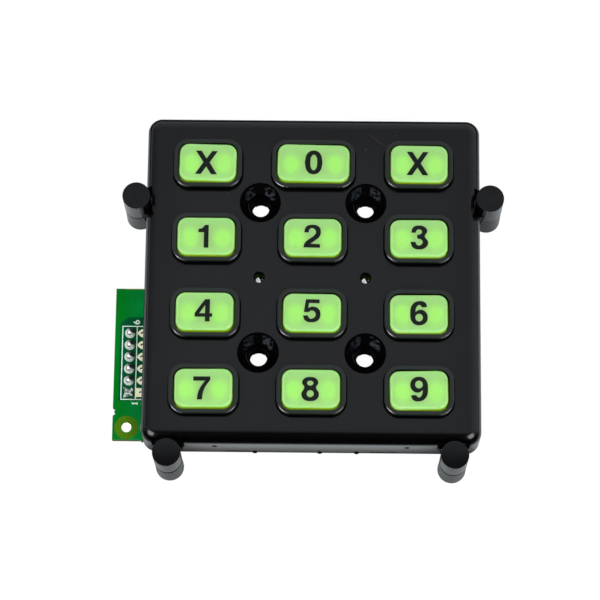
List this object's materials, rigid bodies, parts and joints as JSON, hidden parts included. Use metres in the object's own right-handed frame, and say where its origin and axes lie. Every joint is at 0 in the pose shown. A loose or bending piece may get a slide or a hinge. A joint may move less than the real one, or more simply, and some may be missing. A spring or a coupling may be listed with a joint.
{
  "type": "intercom keypad",
  "caption": "Backlit keypad for a door intercom: square black front, raised collars round translucent numbered keys, countersunk fixing recesses, edge posts and a wiring tab.",
  "frame": {"origin": "centre of the four fixing recesses, on the face that the collars stand on", "axes": "+Z out of the face towards the user, +X to the right and +Y up as the digits read"},
  "size_m": [0.0807, 0.0754, 0.015],
  "materials": {
    "front": "satin black, moulded",
    "post_cap": "satin black, moulded",
    "key": "translucent pale green, softly matt",
    "mat": "translucent pale silicone rubber",
    "pill": "carbon-filled rubber",
    "pads": "gold-plated copper",
    "board": "green solder mask over fibreglass",
    "key_light": "pale housing, clear lens",
    "status_light": "clear resin",
    "strip": "matt black",
    "terminals": "tinned",
    "solder": "bright solder",
    "chip": "matt black package, tinned leads",
    "resistor": "black glaze, tinned ends",
    "capacitor": "tan ceramic, tinned ends",
    "cover": "black, moulded",
    "screws": "zinc-plated"
  },
  "bodies": {
    "base": {"front_moulding": "front", "post_cap_left": "post_cap", "post_cap_right": "post_cap", "post_cap_lower_left": "post_cap", "post_cap_lower_right": "post_cap", "contact_mat": "mat", "contact_pads": "pads", "circuit_board": "board", "key_lights": "key_light", "status_lights": "status_light", "socket_strip": "strip", "socket_terminals": "terminals", "terminal_solder": "solder", "controller_chip": "chip", "chip_resistors": "resistor", "chip_capacitors": "capacitor", "rear_cover": "cover", "cover_screws": "screws"},
    "key_1": {"key_1": "key", "pill_1": "pill"},
    "key_2": {"key_2": "key", "pill_2": "pill"},
    "key_3": {"key_3": "key", "pill_3": "pill"},
    "key_4": {"key_4": "key", "pill_4": "pill"},
    "key_5": {"key_5": "key", "pill_5": "pill"},
    "key_6": {"key_6": "key", "pill_6": "pill"},
    "key_7": {"key_7": "key", "pill_7": "pill"},
    "key_8": {"key_8": "key", "pill_8": "pill"},
    "key_9": {"key_9": "key", "pill_9": "pill"},
    "key_0": {"key_0": "key", "pill_0": "pill"},
    "key_cancel_left": {"key_cancel_left": "key", "pill_cancel_left": "pill"},
    "key_cancel_right": {"key_cancel_right": "key", "pill_cancel_right": "pill"}
  },
  "joints": [
    {"name": "press_1", "type": "slide", "parent": "base", "child": "key_1", "axis": [0, 0, -1], "range_m": [0, 0.0012], "stiffness_N_per_m": 300, "springref_m": -0.001, "deforming": ["contact_mat"]},
    {"name": "press_2", "type": "slide", "parent": "base", "child": "key_2", "axis": [0, 0, -1], "range_m": [0, 0.0012], "stiffness_N_per_m": 300, "springref_m": -0.001, "deforming": ["contact_mat"]},
    {"name": "press_3", "type": "slide", "parent": "base", "child": "key_3", "axis": [0, 0, -1], "range_m": [0, 0.0012], "stiffness_N_per_m": 300, "springref_m": -0.001, "deforming": ["contact_mat"]},
    {"name": "press_4", "type": "slide", "parent": "base", "child": "key_4", "axis": [0, 0, -1], "range_m": [0, 0.0012], "stiffness_N_per_m": 300, "springref_m": -0.001, "deforming": ["contact_mat"]},
    {"name": "press_5", "type": "slide", "parent": "base", "child": "key_5", "axis": [0, 0, -1], "range_m": [0, 0.0012], "stiffness_N_per_m": 300, "springref_m": -0.001, "deforming": ["contact_mat"]},
    {"name": "press_6", "type": "slide", "parent": "base", "child": "key_6", "axis": [0, 0, -1], "range_m": [0, 0.0012], "stiffness_N_per_m": 300, "springref_m": -0.001, "deforming": ["contact_mat"]},
    {"name": "press_7", "type": "slide", "parent": "base", "child": "key_7", "axis": [0, 0, -1], "range_m": [0, 0.0012], "stiffness_N_per_m": 300, "springref_m": -0.001, "deforming": ["contact_mat"]},
    {"name": "press_8", "type": "slide", "parent": "base", "child": "key_8", "axis": [0, 0, -1], "range_m": [0, 0.0012], "stiffness_N_per_m": 300, "springref_m": -0.001, "deforming": ["contact_mat"]},
    {"name": "press_9", "type": "slide", "parent": "base", "child": "key_9", "axis": [0, 0, -1], "range_m": [0, 0.0012], "stiffness_N_per_m": 300, "springref_m": -0.001, "deforming": ["contact_mat"]},
    {"name": "press_0", "type": "slide", "parent": "base", "child": "key_0", "axis": [0, 0, -1], "range_m": [0, 0.0012], "stiffness_N_per_m": 300, "springref_m": -0.001, "deforming": ["contact_mat"]},
    {"name": "press_cancel_left", "type": "slide", "parent": "base", "child": "key_cancel_left", "axis": [0, 0, -1], "range_m": [0, 0.0012], "stiffness_N_per_m": 300, "springref_m": -0.001, "deforming": ["contact_mat"]},
    {"name": "press_cancel_right", "type": "slide", "parent": "base", "child": "key_cancel_right", "axis": [0, 0, -1], "range_m": [0, 0.0012], "stiffness_N_per_m": 300, "springref_m": -0.001, "deforming": ["contact_mat"]}
  ]
}
